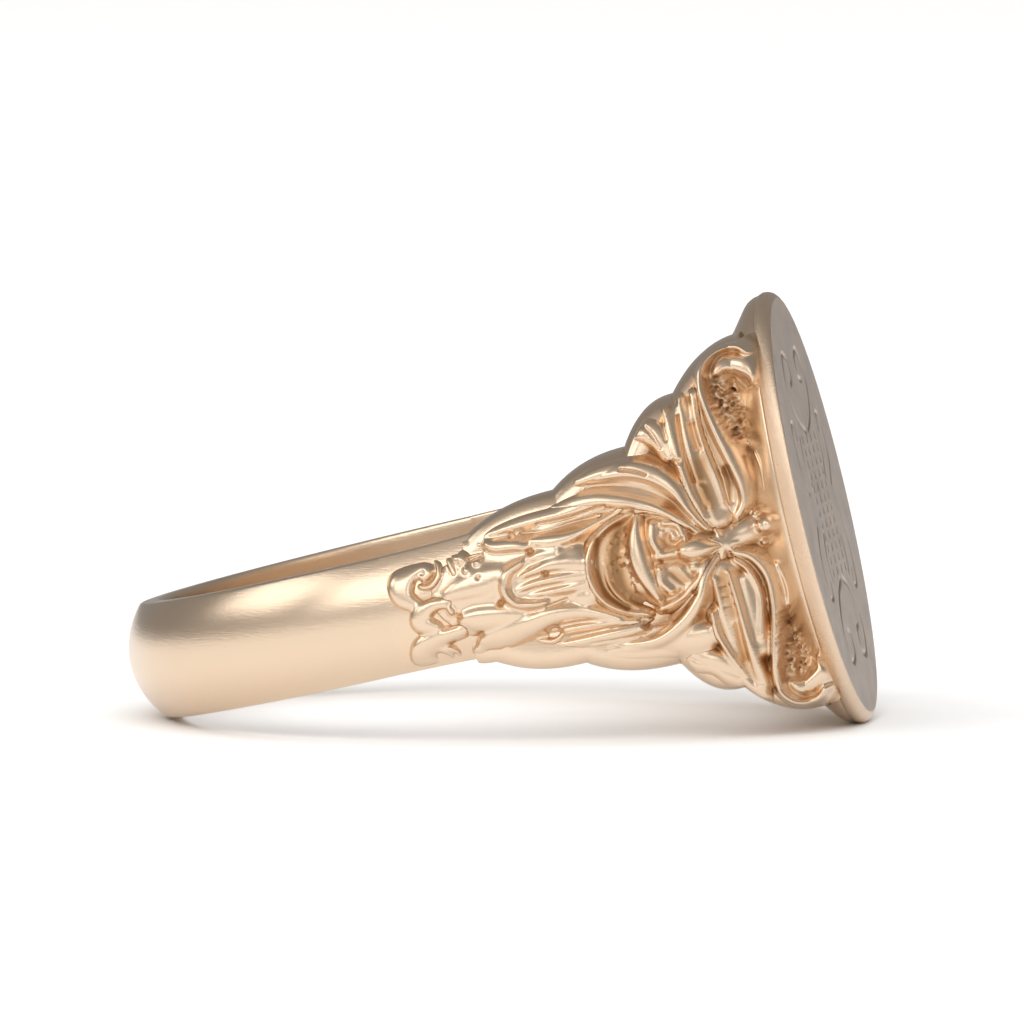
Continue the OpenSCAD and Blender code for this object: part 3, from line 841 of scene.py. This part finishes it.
# --- Table, light and camera -----------------------------------------------------------------
# White card on a bench, with a wide softbox above the front, one at each side, a soft lamp over
# the card that the gold doesn't mirror, and a darker room behind.
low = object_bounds()[0][2]
bm = bmesh.new()
bmesh.ops.create_grid(bm, x_segments=8, y_segments=8, size=3)
bmesh.ops.translate(bm, vec=(0, 0, low), verts=bm.verts[:])
mesh = bpy.data.meshes.new("table")
bm.to_mesh(mesh)
bm.free()
card = bpy.data.materials.new("white_card")
card.use_nodes = True
shader = card.node_tree.nodes["Principled BSDF"]
shader.inputs["Roughness"].default_value = 0.8
shader.inputs["Specular IOR Level"].default_value = 0.1
fibre = card.node_tree.nodes.new("ShaderNodeTexNoise")
fibre.inputs["Scale"].default_value = 400
shade = card.node_tree.nodes.new("ShaderNodeValToRGB")
shade.color_ramp.elements[0].color = (0.88, 0.88, 0.88, 1)
shade.color_ramp.elements[1].color = (0.92, 0.92, 0.92, 1)
where = card.node_tree.nodes.new("ShaderNodeTexCoord")
card.node_tree.links.new(where.outputs["Object"], fibre.inputs["Vector"])
card.node_tree.links.new(fibre.outputs["Fac"], shade.inputs["Fac"])
card.node_tree.links.new(shade.outputs["Color"], shader.inputs["Base Color"])
mesh.materials.append(card)
table = bpy.data.objects.new("table", mesh)
bpy.context.scene.collection.objects.link(table)


def lamp(name, kind, spot, aim, energy):
    """A lamp at a spot, turned to what it lights."""
    light = bpy.data.lights.new(name, kind)
    light.energy = energy
    holder = bpy.data.objects.new(name, light)
    holder.location = spot
    holder.rotation_euler = (Vector(aim) - Vector(spot)).to_track_quat("-Z", "Y").to_euler()
    holder.visible_camera = False
    bpy.context.scene.collection.objects.link(holder)
    return holder


def softbox(name, spot, size, brightness):
    """A lamp behind cloth: a rectangle of even brightness aimed at the ring."""
    box = lamp(name, "AREA", spot, (0, 0, 0), brightness * math.pi * size[0] * size[1])
    box.data.shape = "RECTANGLE"
    box.data.size, box.data.size_y = size


softbox("front_softbox", (-0.12, -0.78, 0.62), (1.2, 0.62), 1.5)
softbox("left_softbox", (-0.95, -0.2, 0.7), (0.7, 0.6), 1.5)
softbox("right_softbox", (0.9, -0.6, 0.4), (0.5, 0.5), 1.2)
# A broad lamp for the card alone
floor_lamp = lamp("floor_lamp", "SUN", (0, 0, 1), (0, 0.05, 0), 2.0)
floor_lamp.data.angle = math.radians(100)
floor_lamp.visible_glossy = False
world = bpy.data.worlds.new("studio")
bpy.context.scene.world = world
world.use_nodes = True
nodes, links = world.node_tree.nodes, world.node_tree.links
way = nodes.new("ShaderNodeTexCoord")
split = nodes.new("ShaderNodeSeparateXYZ")
depth = nodes.new("ShaderNodeMapRange")
depth.inputs["From Min"].default_value = -0.9
depth.inputs["From Max"].default_value = 0.4
depth.inputs["To Min"].default_value = 0.75
depth.inputs["To Max"].default_value = 0.30
links.new(way.outputs["Generated"], split.inputs["Vector"])
links.new(split.outputs["Y"], depth.inputs["Value"])
links.new(depth.outputs["Result"], nodes["Background"].inputs["Strength"])
nodes["Background"].inputs["Color"].default_value = (1.0, 0.98, 0.96, 1)
bpy.context.scene.view_settings.view_transform = "Standard"

camera = bpy.data.objects.new("camera", bpy.data.cameras.new("camera"))
azimuth, elevation, distance = math.radians(8.7), math.radians(4), 0.38
back = Vector((math.sin(azimuth) * math.cos(elevation), -math.cos(azimuth) * math.cos(elevation),
               math.sin(elevation)))
right = Vector((math.cos(azimuth), math.sin(azimuth), 0))
up = back.cross(right)
looked_at = right * 0.0024 + up * 0.00275
camera.matrix_world = Matrix.Translation(looked_at + back * distance) @ Matrix(
    (right, up, back)).transposed().to_4x4()
camera.data.lens = 388.6
camera.data.clip_start = 0.01
bpy.context.scene.collection.objects.link(camera)
bpy.context.scene.camera = camera
